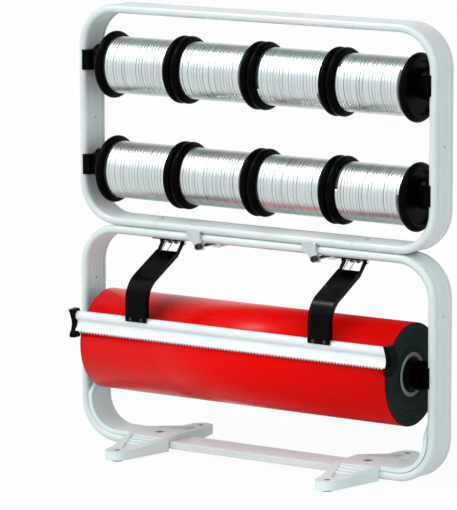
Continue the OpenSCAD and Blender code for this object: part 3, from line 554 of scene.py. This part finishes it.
def straight_winding():
    """One even winding round the X axis, through the origin."""
    pitch = (WINDING_W - RIBBON_W - 2 * END_ROOM) / TURNS
    bm = bmesh.new()
    section = [(0.0, 0.0), (EDGE_W, RIBBON_T), (RIBBON_W / 2, RIBBON_T * 1.15),
               (RIBBON_W - EDGE_W, RIBBON_T), (RIBBON_W, 0.0)]
    verts = [bm.verts.new((END_ROOM - WINDING_W / 2 + x, 0, BAND_R + r))
             for x, r in section]
    face = bm.faces.new(verts)
    bmesh.ops.spin(bm, geom=[face, *face.edges, *face.verts], cent=(0, 0, 0),
                   axis=(1, 0, 0), dvec=(pitch / STEPS, 0, 0),
                   angle=2 * math.pi * TURNS, steps=TURNS * STEPS,
                   use_merge=False, use_duplicate=False)
    return bm, len(section)


def loosened(even, per_step, middle, start, seed):
    """A copy with each turn shifted by a smooth noise of the way that it has run."""
    bm = even.copy()
    for i, vert in enumerate(bm.verts):
        run = (i // per_step) / STEPS           # in turns
        x, y, z = vert.co
        slide = noise.noise((run * 1.7, seed * 3.1, 0.0)) * SHORT_SLIDE
        slide += noise.noise((run * 0.45, seed * 5.7, 4.0)) * LONG_SLIDE
        lift = (0.5 + noise.noise((run * 2.3, seed * 7.3, 9.0))) * LIFT
        ends = min(1.0, run, TURNS - run) if TURNS > run else 0.0
        scale = 1 + lift / math.hypot(y, z)
        vert.co = Vector((x + slide * ends, y * scale, z * scale))
    bmesh.ops.rotate(bm, verts=bm.verts[:], cent=(0, 0, 0),
                     matrix=Matrix.Rotation(start, 3, "X"))
    bmesh.ops.translate(bm, verts=bm.verts[:], vec=middle)
    return bm


even, per_step = straight_winding()
reach = [math.hypot(v.co.y, v.co.z) for v in even.verts]
print("winding radius", round(min(reach) / MM, 2), round(max(reach) / MM, 2), "faces",
      len(even.faces))

# %% [markdown]
# The layer below shows only through the gaps, as dark lines, so one closed drum is enough
# for it, in a copy of the film that is painted darker: painted shade, for the little light
# that reaches down into the gaps. Every spool gets its own noise and its own start, and
# each winding takes the place of the imported one.

# %% Wind the eight spools
SPOOL_SHIFT, SPOOL_PITCH = 3.0 * MM, 127.0 * MM
# Height of the rod, seed of the first spool, and where each ribbon starts, in degrees
# from +Y over the top.
ROWS = {"u": (538.0 * MM, 2, (0, 80, 200, 140)),
        "l": (391.0 * MM, 12, (250, 30, 310, 170))}
UNDER_R, UNDER_INNER_R = 39.5 * MM, 36.6 * MM
CHAMFER = 0.3 * MM
half = WINDING_W / 2
under_profile = [(-half, UNDER_INNER_R), (-half, UNDER_R - CHAMFER),
                 (-half + CHAMFER, UNDER_R), (half - CHAMFER, UNDER_R),
                 (half, UNDER_R - CHAMFER), (half, UNDER_INNER_R),
                 (-half, UNDER_INNER_R)]

for row, (axis_z, first_seed, starts) in ROWS.items():
    for i, start in enumerate(starts):
        tag = f"{row}{i + 1}"
        spool_x = SPOOL_SHIFT + (i - 1.5) * SPOOL_PITCH
        middle = Vector((spool_x, 0, axis_z))
        bm = loosened(even, per_step, middle, math.radians(start - 90), first_seed + i)
        outer = finished(bm, "winding_" + tag, "ribbon_spool_" + tag,
                         [film], ["ribbon_" + tag])
        bm = bmesh.new()
        drum(bm, under_profile, middle, 72)
        finished(bm, "under_layer_" + tag, "ribbon_spool_" + tag,
                 [painted_shade_film], ["ribbon_" + tag])
even.free()
print("wound", 2 * len(starts), "spools of", len(outer.data.polygons), "faces each")

# %% [markdown]
# ## The paper roll
# A roll of gift-wrap is one long sheet on a board core. Its outside is not a perfect
# cylinder: the sheet ends somewhere, and there it steps down by its own thickness. At
# the ends the turns never lie quite level, which gives the cut edge its fine rings. The
# outside is an outline with one step, pulled along the roll, and the ends are a profile
# of small uneven steps, spun about the rod. The step is drawn at 0.3 mm, three sheets
# thick, so that it can be seen at all.

# %% The outer sheet
ROLL_R, ROLL_HALF = 70.5 * MM, 250.0 * MM
SHEET_R = 66 * MM               # inside of the outer sheet, outside of the uneven ends
SHEET_STEP, SHEET_STEPS = 0.3 * MM, 240
LOOSE_EDGE = 305.0              # where the sheet ends, in degrees from +Y over the top

bm = bmesh.new()
outline = []
for k in range(SHEET_STEPS + 1):
    turn = k / SHEET_STEPS
    angle = math.radians(LOOSE_EDGE - 360 * turn)
    radius = ROLL_R - SHEET_STEP * turn
    outline.append(bm.verts.new(ROLL_MIDDLE + Vector((
        -ROLL_HALF, radius * math.cos(angle), radius * math.sin(angle)))))
outer_loop = [bm.edges.new(pair) for pair in zip(outline, outline[1:] + outline[:1])]
inner = bmesh.ops.create_circle(
    bm, cap_ends=False, segments=120, radius=SHEET_R,
    matrix=Matrix.Translation(ROLL_MIDDLE + Vector((-ROLL_HALF, 0, 0)))
    @ Matrix.Rotation(math.radians(90), 4, "Y"))["verts"]
inner_loop = list({e for v in inner for e in v.link_edges})
rim = bmesh.ops.triangle_fill(bm, use_beauty=True, use_dissolve=False,
                              edges=outer_loop + inner_loop)
rim_faces = [f for f in rim["geom"] if isinstance(f, bmesh.types.BMFace)]
pulled = bmesh.ops.extrude_face_region(bm, geom=rim_faces)
moved = [v for v in pulled["geom"] if isinstance(v, bmesh.types.BMVert)]
bmesh.ops.translate(bm, verts=moved, vec=(2 * ROLL_HALF, 0, 0))
bm.normal_update()
for face in bm.faces:
    level = abs(face.normal.x) > 0.9
    face.material_index = 1 if level else 0
wrap = finished(bm, "paper_wrap", "paper", [red_paper, paper_edge],
                ["paper_roll"])
for face in wrap.data.polygons:
    face.use_smooth = face.material_index == 0
print("outer sheet:", len(wrap.data.polygons), "faces")

# %% The uneven ends
CORE_R = 30.2 * MM              # just outside of the board core
NARROWEST, WIDEST, DEEPEST = 0.5, 1.3, 0.45     # rings, in millimetres

rng = random.Random(7)
bm = bmesh.new()
profile = []
radius = CORE_R
while radius < SHEET_R:
    width = rng.uniform(NARROWEST, WIDEST) * MM
    depth = rng.uniform(0.0, DEEPEST) * MM
    level = ROLL_HALF - depth
    profile += [(level, radius), (level, min(radius + width * 0.9, SHEET_R))]
    radius += width
far = [(-x, r) for x, r in reversed(profile)]
drum(bm, profile + far + profile[:1], ROLL_MIDDLE, 120)
ends = finished(bm, "paper_turns", "paper", [paper_edge], ["paper_roll"],
                smooth=False)
print("ends:", len(ends.data.polygons), "faces,", len(profile) // 2, "rings")

# %% [markdown]
# ## The torsion springs
# Two small springs on each hinge pin press the rail on the paper. A spring is one wire:
# a circle spun round the pin while it moves along it, and then both ends are pulled out
# straight, one down the arm and one back under the bracket.

# %% Wind the springs
PIN = Vector((0, 2 * MM, 296 * MM))
COIL_R, WIRE_R, CURL_PITCH = 3 * MM, 0.5 * MM, 1.6 * MM
START, SWEEP, COIL_STEPS = 129.0, 1119.0, 100       # degrees, degrees, number
SPRING_X = (-7.6 * MM, 2.6 * MM)                    # starts of both coils, from the arm
LEG_DOWN, LEG_BACK = 24 * MM, 12 * MM

for side, arm_x in (("left", -150 * MM), ("right", 150 * MM)):
    bm = bmesh.new()
    for x0 in SPRING_X:
        a = math.radians(START)
        radial = Vector((0, math.cos(a), math.sin(a)))
        tangent = Vector((0, math.sin(a), -math.cos(a)))
        place = PIN + Vector((arm_x + x0, 0, 0)) + radial * COIL_R
        along_wire = tangent.to_track_quat("Z", "X").to_matrix().to_4x4()
        section = bmesh.ops.create_circle(
            bm, cap_ends=True, segments=10, radius=WIRE_R,
            matrix=Matrix.Translation(place) @ along_wire)["verts"]
        cap = section[0].link_faces[0]
        climb = CURL_PITCH * SWEEP / 360 / COIL_STEPS
        coil = bmesh.ops.spin(bm, geom=[cap, *cap.edges, *cap.verts], cent=PIN,
                              axis=(1, 0, 0), angle=-math.radians(SWEEP),
                              steps=COIL_STEPS, dvec=(climb, 0, 0),
                              use_merge=False, use_duplicate=False)
        last = [f for f in coil["geom_last"] if isinstance(f, bmesh.types.BMFace)]
        for face, way in ((cap, -LEG_DOWN * tangent), (last[0], Vector((0, LEG_BACK, 0)))):
            tip = bmesh.ops.extrude_discrete_faces(bm, faces=[face])["faces"][0]
            bmesh.ops.translate(bm, verts=tip.verts[:], vec=way)
    spring = finished(bm, side + "_spring_pair", "rail_unit", [black_zinc],
                      [side + "_springs"])
print("spring:", len(spring.data.polygons), "faces")
